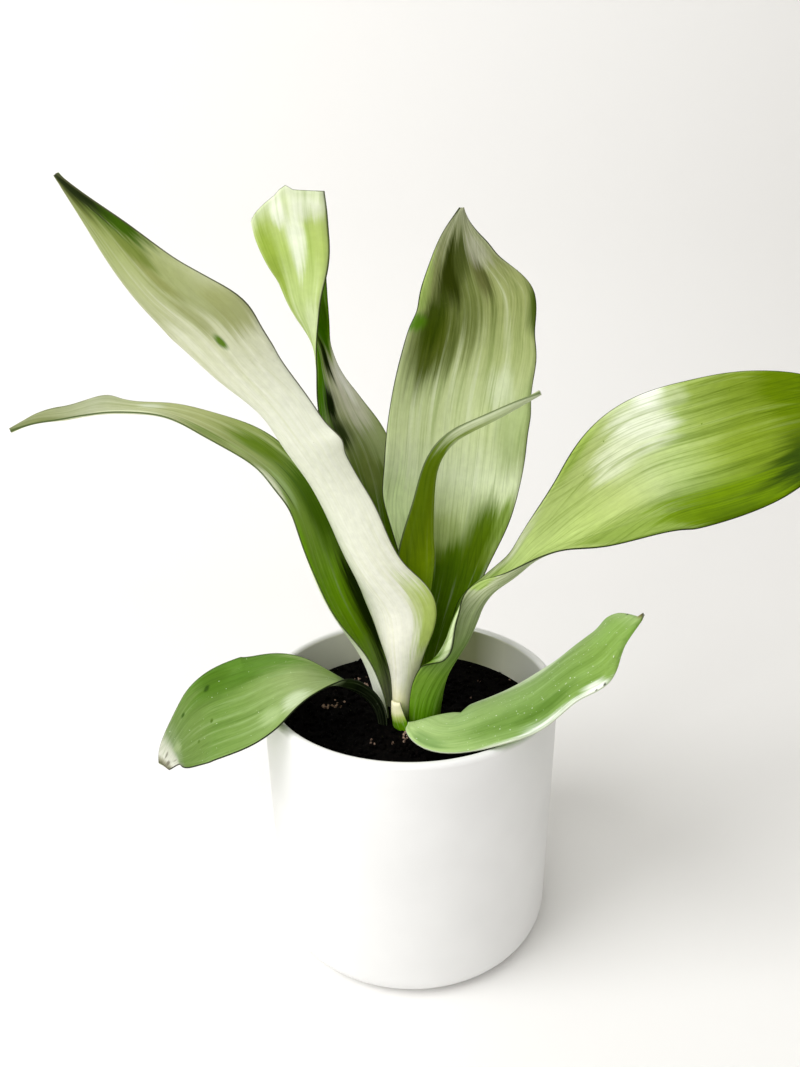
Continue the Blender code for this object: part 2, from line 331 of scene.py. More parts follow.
peatLook = peat()
makeSoil(peatLook)
makeCrumbs(peatLook)
print("soil made")

# Leaves: rows along a leaf, strips across it and its thickness, in millimetres
blade = {
    "row": 1.6, "strips": 28, "thickness": 2.2, "marginShare": 0.28,
    "footRise": 6.0, "rippleStart": 80.0, "rollFade": 10.0, "tearReach": 40.0,
}


def smooth(knots, values, at):
    # a natural cubic spline through the values
    count = len(knots)
    step = np.diff(knots)
    rise = np.diff(values, axis=0) / step[:, None]
    matrix = np.eye(count)
    right = np.zeros_like(values)
    for i in range(1, count - 1):
        matrix[i, i - 1:i + 2] = step[i - 1], 2 * (step[i - 1] + step[i]), step[i]
        right[i] = 6 * (rise[i] - rise[i - 1])
    bend = np.linalg.solve(matrix, right)
    low = np.clip(np.searchsorted(knots, at, side="right") - 1, 0, count - 2)
    x = (at - knots[low])[:, None]
    span = step[low][:, None]
    slope = rise[low] - span * (2 * bend[low] + bend[low + 1]) / 6
    cubic = (bend[low + 1] - bend[low]) / (6 * span)
    return values[low] + x * slope + x**2 * bend[low] / 2 + x**3 * cubic


def unit(vectors):
    return vectors / np.linalg.norm(vectors, axis=1)[:, None]


def leafRows(leaf):
    stations = np.array(leaf["stations"], float)
    legs = np.linalg.norm(np.diff(stations[:, :3], axis=0), axis=1)
    knots = np.concatenate([[0], np.cumsum(legs)])
    count = max(8, round(knots[-1] / blade["row"]))
    at = np.linspace(0, knots[-1], count + 1)
    rows = smooth(knots, stations, at)
    middle, width, twist, depth = rows[:, :3], rows[:, 3], rows[:, 4], rows[:, 5]
    along = unit(np.gradient(middle, at, axis=0))
    foot = np.clip(at / blade["footRise"], 0, 1)[:, None]
    along = unit(along * foot + np.array([0, 0, 1]) * (1 - foot))
    heading = math.radians(leaf["heading"])
    side = np.array([-math.sin(heading), math.cos(heading), 0])
    level = unit(side - (along @ side)[:, None] * along)
    upward = np.cross(along, level)
    turn = np.radians(twist)[:, None]
    across = level * np.cos(turn) + upward * np.sin(turn)
    return at, middle, along, across, np.cross(along, across), width, depth


def marginReach(leaf, distance, share):
    # how far the lobes push a margin out, or in where their height is less than 0
    reach = np.zeros(len(share))
    for middle, side, height, length in leaf.get("lobes", []):
        reach += (side * share > 0) * side * height * np.exp(-(((distance - middle) / length) ** 2))
    return reach * share**2


def rollMargins(leaf, distance, share, width, depth, spread, lift):
    # turns a stretch of margin outwards like a rolled hem
    for first, last, side, start, angle in leaf.get("rolls", []):
        fold = side * marginReach(leaf, distance, np.full(len(share), side * start)) + start * width / 2
        length = np.maximum(0, side * spread - fold)
        hem = side * marginReach(leaf, distance, np.full(len(share), float(side))) + width / 2 - fold
        fade = np.clip(np.minimum(distance - first, last - distance) / blade["rollFade"], 0, 1)
        turn = np.radians(angle) * length / hem * fade
        tilt = np.arctan(depth * leaf["trough"] / (width / 2))
        spread = spread + side * length * (np.cos(tilt - turn / 2) - np.cos(tilt))
        lift = lift + length * (np.sin(tilt - turn / 2) - np.sin(tilt))
    return spread, lift


def leafPoints(rows, index, share, leaf):
    at, middle, along, across, inner, width, depth = [row[index] for row in rows]
    height, length = leaf["wave"]
    ripple = height * np.sin(math.tau * at / length + share) * abs(share) ** 3
    ripple *= np.minimum(1, at / blade["rippleStart"])
    lift = ripple - depth * (1 - abs(share) ** leaf["trough"])
    spread = share * width / 2 + marginReach(leaf, at, share)
    spread, lift = rollMargins(leaf, at, share, width, depth, spread, lift)
    points = middle + across * spread[:, None] + inner * lift[:, None]
    if "torn" in leaf:
        shares, lengths = zip(*leaf["torn"])
        fade = np.maximum(0, 1 - (rows[0][-1] - at) / blade["tearReach"])
        points += along * (np.interp(share, shares, lengths) * fade)[:, None]
    return points


def leafMesh(name, leaf):
    rows = leafRows(leaf)
    count = len(rows[0]) - 1
    mesh = bmesh.new()
    bmesh.ops.create_grid(mesh, x_segments=blade["strips"], y_segments=count, size=1)
    shape = meshOf(name, mesh)
    grid = np.zeros(len(shape.vertices) * 3)
    shape.vertices.foreach_get("co", grid)
    share = grid[0::3]
    index = np.rint((grid[1::3] + 1) / 2 * count).astype(int)
    at, width, inward = rows[0][index], rows[5][index], rows[4][index]
    points = leafPoints(rows, index, share, leaf) * mm
    shape.vertices.foreach_set("co", points.ravel())
    corner = np.zeros(len(shape.loops), int)
    shape.loops.foreach_get("vertex_index", corner)
    maps = {"share": (share, at / at.max()), "blade": (share * width / 2 * mm, at * mm)}
    for key, (across, run) in maps.items():
        made = shape.uv_layers.new(name=key)
        made.uv.foreach_set("vector", np.stack([across[corner], run[corner]], 1).ravel())
    draft = bpy.data.objects.new(name + "Draft", shape)
    bpy.context.scene.collection.objects.link(draft)
    thickness = draft.vertex_groups.new(name="thickness")
    for value in np.unique(share):
        weight = 1 - (1 - blade["marginShare"]) * value**2
        thickness.add(np.nonzero(share == value)[0].tolist(), float(weight), "REPLACE")
    shell = draft.modifiers.new("shell", "SOLIDIFY")
    shell.thickness = blade["thickness"] * mm
    shell.offset = 0
    shell.vertex_group = "thickness"
    shell.thickness_vertex_group = 0
    solid = bpy.data.meshes.new_from_object(draft.evaluated_get(bpy.context.evaluated_depsgraph_get()))
    bpy.data.objects.remove(draft, do_unlink=True)
    solid.name = name
    shown = np.zeros(len(solid.vertices) * 3)
    solid.vertices.foreach_get("co", shown)
    twin = np.arange(len(solid.vertices)) % len(points)
    moved = ((shown.reshape(-1, 3) - points[twin]) * inward[twin]).sum(1)
    edge = (1 - abs(share)) * width / 2
    if "torn" in leaf:
        edge = np.minimum(edge, at.max() - at)
    for key, values in (("innerFace", moved > 0), ("toMargin", edge[twin])):
        solid.attributes.new(key, "FLOAT", "POINT").data.foreach_set("value", values.astype(np.float32))
    return solid


# Leaf skin: fibres, mottle and flecks have their size across and along in millimetres, then
# their detail. The streaks have how often they repeat per share and per leaf length, then their
# detail. A patch's edge wanders with the fibres and the streaks.
skin = {
    "fibre": (0.8, 60, 3.0), "streak": (7.0, 2.2, 5.0), "mottle": (2.4, 4.5, 5.0), "fleckStretch": 1.6,
    "noiseRoughness": 0.6, "noiseSpan": (0.3, 0.7),
    "fibreWander": 0.35, "streakWander": 0.5, "fray": (1.1, 1.3), "softEdge": 0.3,
    "frost": (0.5, 0.3), "streakLine": (0.5, 0.7), "fibreLine": (0.45, 0.7), "fibreShare": 0.7,
    "fleckEdge": 0.06, "fleckStrength": 0.8, "bright": 1.06, "uneven": 0.06, "saturation": 1.05,
    "margin": "#222c0e", "marginLine": (0.3, 0.06), "marginStrength": 0.95,
    "gloss": 0.06, "sheen": (0.36, 0.5), "ridgeBump": (0.3, 0.1),
}


def perMetre(across, along, detail):
    return 1 / (across * mm), 1 / (along * mm), detail


def leafNoises(tree, fleckSize, share, millimetres):
    noises = {}
    for key, source, across, along, detail in (
        ("fibre", millimetres, *perMetre(*skin["fibre"])),
        ("streak", share, *skin["streak"]),
        ("mottle", millimetres, *perMetre(*skin["mottle"])),
        ("fleck", millimetres, *perMetre(fleckSize, skin["fleckStretch"] * fleckSize, 1.0)),
    ):
        run = addNode(tree, "ShaderNodeMapping", {"Scale": (across, along, 1)}, {"Vector": source})
        values = {"Scale": 1.0, "Detail": detail, "Roughness": skin["noiseRoughness"]}
        noises[key] = addNode(tree, "ShaderNodeTexNoise", values, {"Vector": run.outputs[0]}).outputs
    return noises


def leafWander(tree, noises):
    # a shift that is 0 on average, since a noise's colour is near 0.5
    fibre, streak = skin["fibreWander"], skin["streakWander"]
    grain = addNode(
        tree, "ShaderNodeVectorMath", {1: (fibre, streak, 0)},
        {0: noises["fibre"]["Color"], 2: noises["streak"]["Color"]}, operation="MULTIPLY_ADD",
    )
    middle = (0.5 + fibre / 2, 0.5 + streak / 2, 0.5)
    away = addNode(tree, "ShaderNodeVectorMath", {1: middle}, {0: grain.outputs["Vector"]}, operation="SUBTRACT")
    return away.outputs["Vector"]


def leafPatches(tree, leaf, colour, share, wander, gates):
    # soft oval patches, each on one face of the leaf: marks of the leaf's own colour, and some painted highlights and
    # painted shade
    for face, across, upTo, wide, tall, hexColour, strength in leaf.get("patches", []):
        centred = addNode(
            tree, "ShaderNodeMapping",
            {"Location": (-across / wide, -upTo / tall, 0), "Scale": (1 / wide, 1 / tall, 0)}, {"Vector": share},
        )
        frayed = addNode(
            tree, "ShaderNodeVectorMath", {1: (*skin["fray"], 0)},
            {0: wander, 2: centred.outputs["Vector"]}, operation="MULTIPLY_ADD",
        )
        far = addNode(tree, "ShaderNodeVectorMath", None, {0: frayed.outputs["Vector"]}, operation="LENGTH")
        near = remap(tree, far.outputs["Value"], 1.0, skin["softEdge"], 0.0, strength, "SMOOTHSTEP")
        amount = addNode(tree, "ShaderNodeMath", None, {0: near, 1: gates[face]}, operation="MULTIPLY")
        colour = mixColours(tree, amount.outputs[0], colour, hexColour)
    return colour


def leafLines(tree, leaf, colour, noises):
    # darker streaks and fibres, and small flecks
    lineColour, strength = leaf["fibres"][:2]
    fleckColour, fleckFrom = leaf["flecks"][:2]
    for key, low, high, hexColour, upTo, blend in (
        ("streak", *skin["streakLine"], lineColour, strength, "MULTIPLY"),
        ("fibre", *skin["fibreLine"], lineColour, strength * skin["fibreShare"], "MULTIPLY"),
        ("fleck", fleckFrom, fleckFrom + skin["fleckEdge"], fleckColour, skin["fleckStrength"], "MIX"),
    ):
        amount = remap(tree, noises[key]["Fac"], low, high, 0.0, upTo, "SMOOTHSTEP")
        colour = mixColours(tree, amount, colour, hexColour, blend)
    return colour


def leafSkin(name, leaf):
    # Living snake plant leaf: a thin wax over long fibres, so it is silky along its length,
    # silvery where the wax is thick, with a hair-thin dark line along each margin
    gloss = leaf.get("gloss", skin["gloss"])
    look, tree, shader = newMaterial(name, IOR=1.45, Specular_IOR_Level=gloss)
    share = addNode(tree, "ShaderNodeUVMap", uv_map="share").outputs["UV"]
    millimetres = addNode(tree, "ShaderNodeUVMap", uv_map="blade").outputs["UV"]
    inside = addNode(tree, "ShaderNodeAttribute", attribute_name="innerFace").outputs["Fac"]
    margin = addNode(tree, "ShaderNodeAttribute", attribute_name="toMargin").outputs["Fac"]
    outside = addNode(tree, "ShaderNodeMath", {0: 1.0}, {1: inside}, operation="SUBTRACT").outputs[0]
    noises = leafNoises(tree, leaf["flecks"][2], share, millimetres)
    length = addNode(tree, "ShaderNodeSeparateXYZ", None, {"Vector": share}).outputs["Y"]
    colour = mixColours(tree, inside, addRamp(tree, length, leaf["outer"]), addRamp(tree, length, leaf["inner"]))
    frostColour, frostStrength = leaf["fibres"][2:]
    frost = remap(tree, noises["streak"]["Fac"], *skin["frost"], 0.0, frostStrength, "SMOOTHSTEP")
    colour = mixColours(tree, frost, colour, frostColour)
    colour = leafPatches(tree, leaf, colour, share, leafWander(tree, noises), {"inner": inside, "outer": outside})
    colour = leafLines(tree, leaf, colour, noises)
    bright = leaf.get("bright", skin["bright"])
    darkest, lightest = bright - skin["uneven"], bright + skin["uneven"]
    value = remap(tree, noises["mottle"]["Fac"], *skin["noiseSpan"], darkest, lightest)
    toned = addNode(
        tree, "ShaderNodeHueSaturation", {"Saturation": skin["saturation"]}, {"Color": colour, "Value": value}
    )
    line = remap(tree, margin, *skin["marginLine"], 0.0, skin["marginStrength"])
    edged = mixColours(tree, line, toned.outputs["Color"], leaf.get("margin", skin["margin"]))
    tree.links.new(edged, shader.inputs["Base Color"])
    sheen = remap(tree, noises["streak"]["Fac"], *skin["noiseSpan"], *skin["sheen"])
    tree.links.new(sheen, shader.inputs["Roughness"])
    addBump(tree, shader, noises["fibre"]["Fac"], *skin["ridgeBump"])
    return look


def makeLeaf(name, leaf, node):
    look = leafSkin(name + "Skin", leaf)
    addPiece(name, leafMesh(name, leaf), look, node + "_skin", node)


# Each leaf below has its heading in degrees, the power of its trough's curve and its ripple's
# height and length. Stations run from foot to tip: the point between the two margins (x, y, z),
# the width, the twist in degrees and the depth of the trough. Distances run along the leaf, and
# shares across it, from -1 at one margin to 1 at the other.
# lobes: distance, margin, height, length. rolls: first and last distance, margin, share where it
# starts, angle. torn: share, how much the end reaches out there. outer, inner: ramps from foot to
# tip for the two faces. patches: face, share, place from foot (0) to tip (1), half width, half
# length, colour, strength. fibres: colour and strength of the dark lines, then of the pale ones.
# flecks: colour, least noise, size.
frontLeaf = {
    "heading": 195, "trough": 1.8, "wave": (0.6, 60),
    "lobes": [(162, 1, 3.5, 5), (143, 1, -2, 12), (222, 1, 2.5, 6), (118, -1, -2, 15), (178, -1, -2, 12)],
    "outer": [
        # the near-white foot of the outer face is partly its own pale colour and partly painted light, lifting it out
        # of the shade
        (0.0, "#6f9a2c"), (0.045, "#9ab850"), (0.075, "#f6f2cc"), (0.12, "#fbf9ec"), (0.28, "#f7f7ea"),
        (0.42, "#e6e8d8"), (0.62, "#e3e6d4"), (0.7, "#dde0c8"), (0.76, "#cdd1b0"), (0.82, "#b3b98e"),
        (0.89, "#9aa46c"), (0.96, "#76823f"), (1.0, "#5c6236"),
    ],
    "inner": [(0.0, "#c9d08a"), (0.3, "#9cbc48"), (0.6, "#86a63c"), (1.0, "#5c7a1e")],
    "patches": [
        ("outer", 0.95, 0.22, 0.55, 0.13, "#bcd066", 0.9), ("outer", 0.6, 0.255, 0.16, 0.05, "#c6d38c", 0.7),
        ("outer", 0.6, 0.83, 0.5, 0.09, "#8f9860", 0.65), ("outer", 0.82, 0.775, 0.3, 0.04, "#969c64", 0.8),
        # painted shade: the two near-black patches at the tip, on the wing turned away from the light
        ("outer", 1.1, 0.93, 0.95, 0.07, "#335200", 0.98), ("outer", 0.8, 0.985, 1.1, 0.065, "#161f05", 0.98),
        ("outer", 0.56, 0.885, 0.26, 0.045, "#6c7a38", 0.9), ("outer", 0.5, 0.84, 0.13, 0.045, "#8a9058", 0.85),
        # painted light: the pale patch near the foot, at 0.13 along, which lifts the shaded foot
        ("outer", 0.36, 0.785, 0.13, 0.045, "#9aa06e", 0.8), ("outer", 0.8, 0.13, 0.5, 0.06, "#f2f4cc", 0.8),
        ("outer", 0.38, 0.75, 0.08, 0.016, "#5c7a2a", 1.0), ("outer", -0.6, 0.93, 0.4, 0.06, "#a3ad78", 0.6),
        ("outer", -0.2, 0.77, 0.3, 0.05, "#dfe2cb", 0.7),
    ],
    "fibres": ("#dfe2bd", 0.3, "#fbfbf2", 0.25), "flecks": ("#8a7f5a", 0.8, 1.2), "margin": "#45482c", "bright": 1.0,
    "stations": [
        (-3, -5, 98.3, 10, 30, 3), (-4, -7, 115, 9, 40, 4), (-3, -8, 135, 15, 50, 5),
        (-3, -9, 150, 24, 50, 6), (-4, -10, 169, 35, 50, 7), (-13, -14, 188, 34, 40, 7),
        (-23, -18, 211, 36, 30, 7), (-32, -23, 235, 36, 30, 8), (-40, -28, 250, 36, 30, 8),
        (-50, -33, 267, 34, 30, 8), (-62, -37, 281, 42, 35, 8), (-75, -45, 299, 47, 35, 8),
        (-86, -48, 309, 37, 35, 7), (-101, -51, 326, 24, 35, 3), (-112, -52, 340, 8, 35, 1),
        (-117, -52, 346, 2, 35, 0),
    ],
}
makeLeaf("frontLeaf", frontLeaf, "leaf_front_left")

archingLeaf = {
    "heading": 180, "trough": 1.6, "wave": (0.5, 45), "margin": "#4a5a2c",
    "lobes": [(226, -1, 2, 5), (247, -1, 1, 6), (139, 1, 3.5, 9)],
    "outer": [
        # the near-white foot of the outer face is partly its own pale colour and partly painted light in the shade
        (0.0, "#b4d070"), (0.06, "#f2fbd6"), (0.1, "#fbfff0"), (0.18, "#eef4dc"), (0.24, "#aebd96"), (0.34, "#d8e2b6"),
        (0.5, "#f2f6de"), (0.65, "#e0e4c8"), (1.0, "#c1c89c"),
    ],
    "inner": [
        (0.0, "#ecedd4"), (0.07, "#dfe6bd"), (0.13, "#a6c566"), (0.2, "#84ac2c"), (0.3, "#84b02e"), (0.42, "#94b352"),
        (0.5, "#92ae54"), (0.57, "#98a766"), (0.63, "#939f60"), (0.69, "#a7ad76"), (0.78, "#a6ac80"), (0.86, "#a1a688"),
        (0.94, "#878d64"), (1.0, "#6d7450"),
    ],
    "patches": [
        # painted shade: the near-black patch along one margin of the foot
        ("inner", -0.6, 0.46, 0.7, 0.14, "#456609", 0.9), ("inner", -0.95, 0.24, 0.6, 0.24, "#131d04", 0.97),
        ("inner", -0.45, 0.585, 0.45, 0.075, "#627d1e", 0.95), ("inner", 0.2, 0.5, 0.3, 0.06, "#b8d092", 0.7),
        ("inner", 0.55, 0.665, 0.5, 0.06, "#7d9142", 0.95), ("inner", 0.35, 0.61, 0.3, 0.03, "#a5b672", 0.8),
        # the near-white patch by the far margin is partly the pale fold and partly painted light shining through the
        # leaf
        ("inner", 0.9, 0.53, 0.55, 0.05, "#fdffee", 1.0), ("inner", 0.42, 0.5, 0.06, 0.06, "#2e4208", 0.85),
        # painted light: the bright yellow-green and near-white patches near the foot, at 0.13 and 0.14 along, lifting
        # it out of shade
        ("inner", 0.9, 0.4, 0.5, 0.09, "#8cc02c", 0.8), ("inner", 0.4, 0.14, 0.6, 0.07, "#c0ee58", 0.8),
        ("inner", 0.95, 0.13, 0.4, 0.06, "#f0ffc4", 0.9), ("inner", -0.5, 0.77, 0.4, 0.03, "#c3c9b0", 0.8),
        ("inner", 0.85, 0.8, 0.4, 0.08, "#d6dcba", 0.85), ("inner", 0.7, 0.95, 0.6, 0.06, "#747c4e", 0.8),
    ],
    "fibres": ("#9fb46c", 0.35, "#dfe7c6", 0.25), "flecks": ("#6b7a4a", 0.82, 1.2),
    "stations": [
        (-9, 0, 98.3, 12, -5, 4), (-10, -1, 117, 14, -10, 6), (-16, -2, 142, 20, -15, 7),
        (-27, -3, 166, 28, -20, 8), (-37, -3, 194, 36, -20, 7), (-47, -3, 221, 39, -10, 5),
        (-57, -2, 234, 41, -5, 5), (-70, -1, 244, 38, -5, 5), (-85, -1, 251, 33, -5, 3),
        (-102, -1, 257, 24, 0, 2), (-119, -1, 259, 17, -5, 2), (-133, 0, 259, 15, -20, 2),
        (-148, 0, 256, 8, -25, 2), (-160, 0, 254, 6, -30, 1), (-171, 0, 249, 2, -30, 0),
    ],
}
makeLeaf("archingLeaf", archingLeaf, "leaf_arching_left")

tornLeaf = {
    # its gloss is off, and its highlights are the painted ones below
    "heading": 130, "trough": 1.6, "wave": (0.5, 70), "lobes": [(252, 1, -4, 5)], "margin": "#3a4420", "gloss": 0.0,
    "torn": [(-1, -14), (0, -10), (0.5, -1), (0.63, 3), (0.72, 0.5), (1, -1)],
    "outer": [
        (0.0, "#5b6338"), (0.4, "#7d8a50"), (0.7, "#b0c286"), (0.8, "#bccb8e"), (0.9, "#b2c574"), (0.96, "#bccb86"),
        (1.0, "#ced6b8"),
    ],
    "inner": [
        (0.0, "#3c4a12"), (0.4, "#567016"), (0.5, "#6d7c3a"), (0.57, "#8f9868"), (0.61, "#aab180"), (0.66, "#c6caa6"),
        (0.71, "#93a45e"), (0.76, "#5f8424"), (0.86, "#5f8a28"), (1.0, "#6f8f35"),
    ],
    "patches": [
        # painted highlights: the three near-white streaks at the tip, from 0.93 to 0.975 along
        ("outer", 0.2, 0.9, 0.28, 0.14, "#93a84c", 0.95), ("outer", 0.66, 0.93, 0.16, 0.09, "#e6ebd6", 0.95),
        ("outer", 0.5, 0.968, 0.12, 0.04, "#e8ecda", 0.9), ("outer", 0.82, 0.975, 0.25, 0.03, "#dadecb", 0.8),
        ("outer", 0.9, 0.93, 0.12, 0.06, "#aec070", 0.8), ("outer", 0.8, 0.78, 0.25, 0.05, "#d3dcb6", 0.6),
        ("inner", -0.7, 0.64, 0.6, 0.1, "#dcd8ca", 0.85), ("inner", 0.7, 0.72, 1.0, 0.22, "#4f820e", 0.97),
        # painted shade: the three near-black patches down the deep channel of the inner face
        ("inner", 1.0, 0.74, 0.3, 0.08, "#8fb850", 0.9), ("inner", 0.1, 0.64, 0.45, 0.05, "#0d1a00", 0.98),
        ("inner", -0.36, 0.715, 0.32, 0.06, "#0d1a00", 0.98), ("inner", -0.85, 0.79, 0.15, 0.05, "#2a4a04", 0.6),
        ("inner", 0.1, 0.58, 0.5, 0.05, "#1c2a04", 0.9), ("inner", -0.8, 0.67, 0.22, 0.06, "#f3f1ea", 0.8),
        ("inner", -0.35, 0.49, 0.4, 0.07, "#868f54", 0.7), ("inner", -0.75, 0.54, 0.4, 0.06, "#a9b184", 0.8),
        ("inner", -0.7, 0.76, 0.3, 0.05, "#3b6607", 0.9),
    ],
    "fibres": ("#b9c98f", 0.35, "#eef3dc", 0.35), "flecks": ("#8a8f6a", 0.82, 1.2),
    "stations": [
        (-7, 10, 98.3, 11, 0, 4), (-8, 14, 125, 17, -10, 6), (-18, 22, 211, 34, -20, 9),
        (-25, 25, 239, 36, -1, 8), (-30, 27, 251, 34, 14, 6), (-33, 28, 259, 31, 23, 4),
        (-36, 29, 270, 27, 36, 3), (-37, 29, 280, 26, 42, 4), (-36.5, 30, 289, 27, 44, 10),
        (-36, 31, 300, 30, 48, 17), (-35, 32, 309, 30, 53, 22), (-34.3, 33, 318, 31, 57, 26),
        (-34, 34, 327, 31, 57, 29), (-34, 34, 336, 31, 57, 31), (-34.5, 34, 345, 30, 57, 32),
    ],
}
makeLeaf("tornLeaf", tornLeaf, "leaf_back_left_torn")

backLeaf = {
    "heading": 80, "trough": 2.0, "wave": (1.2, 42),
    "lobes": [
        (112, 1, 1.5, 10), (200, 1, -1, 8), (214, 1, 0.5, 8), (236, 1, 2, 10),
        (158, -1, 1.5, 10), (192, -1, -1.5, 6), (206, -1, 1.5, 6), (222, -1, -3, 7),
    ],
    "outer": [(0.0, "#6f8a3a"), (0.5, "#92a860"), (1.0, "#9fb06a")],
    "inner": [
        (0.0, "#5d7d10"), (0.25, "#587810"), (0.32, "#527008"), (0.36, "#7f9440"), (0.42, "#c3d09a"), (0.5, "#dbe5bf"),
        (0.58, "#c8d3a2"), (0.66, "#b8c391"), (0.74, "#a4ae78"), (0.82, "#909862"), (0.9, "#83895a"), (1.0, "#8c8f74"),
    ],
    "patches": [
        # the dark olive patches across the left half are partly the leaf's own dark streaks and partly painted shade in
        # the trough
        ("inner", 0.25, 0.84, 0.7, 0.16, "#626c38", 0.9), ("inner", 0.6, 0.74, 0.45, 0.12, "#46520f", 0.95),
        ("inner", 0.42, 0.885, 0.4, 0.09, "#2b3405", 0.98), ("inner", 0.68, 0.8, 0.3, 0.1, "#37450a", 0.95),
        ("inner", 0.1, 0.92, 0.35, 0.06, "#444d20", 0.95), ("inner", -0.28, 0.885, 0.2, 0.07, "#52552c", 0.9),
        ("inner", 0.97, 0.87, 0.2, 0.09, "#a2b76a", 0.95), ("inner", -1.0, 0.8, 0.2, 0.055, "#45561a", 0.97),
        ("inner", 0.85, 0.41, 0.5, 0.15, "#e6f5c2", 0.9), ("inner", -0.9, 0.41, 0.3, 0.08, "#7f9745", 0.95),
        ("inner", -0.85, 0.6, 0.4, 0.12, "#9aaa72", 0.8), ("inner", -0.3, 0.33, 0.5, 0.07, "#4f6e04", 0.9),
        ("inner", -0.62, 0.395, 0.35, 0.11, "#546e0c", 0.97), ("inner", 0.1, 0.39, 0.4, 0.05, "#a9b878", 0.8),
        ("inner", -0.55, 0.68, 0.3, 0.06, "#c9d2b0", 0.7), ("inner", 0.95, 0.785, 0.22, 0.035, "#4d7a0e", 0.85),
        ("inner", -0.5, 0.93, 0.5, 0.05, "#adac9c", 0.6),
    # painted highlight: the pale lilac-grey patch near the tip on the right, at share -0.5
    ],
    "fibres": ("#a3b377", 0.45, "#e9eed8", 0.3), "flecks": ("#7a8450", 0.8, 1.5),
    "stations": [
        (3, 8, 98.3, 16, 0, 4), (4, 10, 116, 20, 0, 5), (16, 14, 170, 36, 10, 7),
        (19, 18, 199, 56, 10, 7), (22, 22, 228, 65, 10, 7), (25, 27, 255, 63, 10, 6),
        (30, 31, 279, 60, 10, 6), (31, 36, 301, 51, 10, 5), (28, 42, 314, 37, 15, 4),
        (26, 45, 327, 15, 15, 2), (26, 47, 338, 1, 15, 0),
    ],
}
makeLeaf("backLeaf", backLeaf, "leaf_back")

youngLeaf = {
    "heading": 350, "trough": 1.6, "wave": (0, 50),
    "outer": [
        (0.0, "#8fae34"), (0.4, "#93b02c"), (0.5, "#7c941c"), (0.6, "#667a16"), (0.7, "#647b1c"), (0.77, "#708828"),
        (0.83, "#9dac6a"), (0.9, "#bac69a"), (1.0, "#b5bba0"),
    ],
    "inner": [(0.0, "#6a8218"), (0.5, "#cdd7a9"), (1.0, "#b7bd99")],
    "patches": [
        ("outer", -1.0, 0.84, 0.7, 0.13, "#ced6b4", 0.97), ("outer", 0.15, 0.78, 0.5, 0.06, "#ecf2d2", 0.85),
        ("outer", -0.7, 0.62, 0.6, 0.2, "#587010", 0.7),
    ],
    "fibres": ("#9aab5a", 0.3, "#b9c98a", 0.12), "flecks": ("#4f6010", 0.8, 1.2), "margin": "#66744a",
    "stations": [
        (1, 3, 98.3, 7, 0, 3), (1, 3, 118, 10, 0, 4), (-1, 3, 155, 14, 0, 9), (-4, 2, 192, 20, 5, 15),
        (3, 1, 216, 11.5, 0, 8), (9.5, -2, 237, 8.5, 0, 5), (19, -5, 247.5, 7, -5, 4),
        (32.5, -8, 254.5, 7, -10, 3), (43, -12, 260, 6, -10, 2), (54, -16, 265, 2, -10, 0),
    ],
}
makeLeaf("youngLeaf", youngLeaf, "leaf_young")

rightLeaf = {
    "heading": 350, "trough": 1.6, "wave": (0.6, 50),
    "lobes": [(64, -1, 6, 14), (90, -1, -8, 8), (102, -1, -3, 9)], "rolls": [(42, 88, -1, 0.7, 170)],
    "outer": [
        (0.0, "#4f7a12"), (0.06, "#5f8a22"), (0.13, "#8aac4c"), (0.18, "#8fa668"), (0.23, "#9aa67c"), (0.29, "#a2ab88"),
        (0.34, "#bdc4a2"), (0.5, "#a3ae88"), (1.0, "#9aa87a"),
    ],
    "inner": [
        (0.0, "#5f8020"), (0.22, "#54761a"), (0.3, "#98b062"), (0.38, "#a8ba76"), (0.45, "#b0c27a"), (0.52, "#afc176"),
        (0.58, "#b2c17c"), (0.64, "#b3c288"), (0.69, "#a9bc78"), (0.74, "#96aa56"), (0.8, "#7e9338"), (0.86, "#697e20"),
        (0.94, "#4c620a"), (1.0, "#3f5004"),
    ],
    "patches": [
        # painted highlight: the four pale patches from 0.6 to 0.71 along, the light's reflection on the waxy face
        ("inner", 0.62, 0.66, 0.5, 0.06, "#e2e8d0", 0.95), ("inner", 0.38, 0.6, 0.36, 0.06, "#dde4c4", 0.85),
        ("inner", 0.93, 0.678, 0.22, 0.028, "#f1f5e8", 0.9), ("inner", 0.85, 0.71, 0.18, 0.035, "#ccd6ae", 0.5),
        ("inner", -0.9, 0.72, 0.75, 0.26, "#64800c", 0.95), ("inner", -0.75, 0.885, 0.9, 0.12, "#2a4000", 0.97),
        ("inner", -1.0, 0.72, 0.25, 0.08, "#4c6507", 0.9), ("inner", 0.7, 0.885, 0.9, 0.06, "#5c7512", 0.8),
        ("inner", -0.85, 0.55, 0.4, 0.1, "#869c4c", 0.9), ("inner", 0.95, 0.4, 0.25, 0.1, "#bcc2a2", 0.9),
        ("inner", -0.1, 0.8, 0.6, 0.07, "#7d9230", 0.6), ("inner", 0.95, 0.56, 0.2, 0.07, "#98b252", 0.8),
        ("inner", -1.0, 0.23, 0.35, 0.07, "#d3e0b8", 0.8),
    ],
    "fibres": ("#8fa344", 0.6, "#cfdf9a", 0.25), "flecks": ("#5d7a1e", 0.76, 2.0),
    "stations": [
        (6, -7, 98.3, 18, -50, 5), (8, -8, 123, 20, -45, 6), (11, -7, 138, 26, -25, 8),
        (17, -8, 157, 24, -10, 11), (22, -11, 172, 20, -10, 11), (34, -14, 184, 22, -10, 7),
        (44, -16, 190, 16, 10, 5), (52, -15, 197, 18, 30, 5), (63, -12, 205, 25, 50, 8),
        (77, -9, 213, 39, 65, 8), (91, -6, 222, 53, 65, 8), (108, -3, 231, 64, 60, 8),
        (129, -2, 237, 65, 60, 8), (152, -1, 244, 60, 60, 7), (170, -1, 249, 48, 55, 5),
        (185, -1, 252, 33, 50, 3), (197, -1, 254, 14, 50, 1), (204, -1, 254, 2, 50, 0),
    ],
}
makeLeaf("rightLeaf", rightLeaf, "leaf_right")

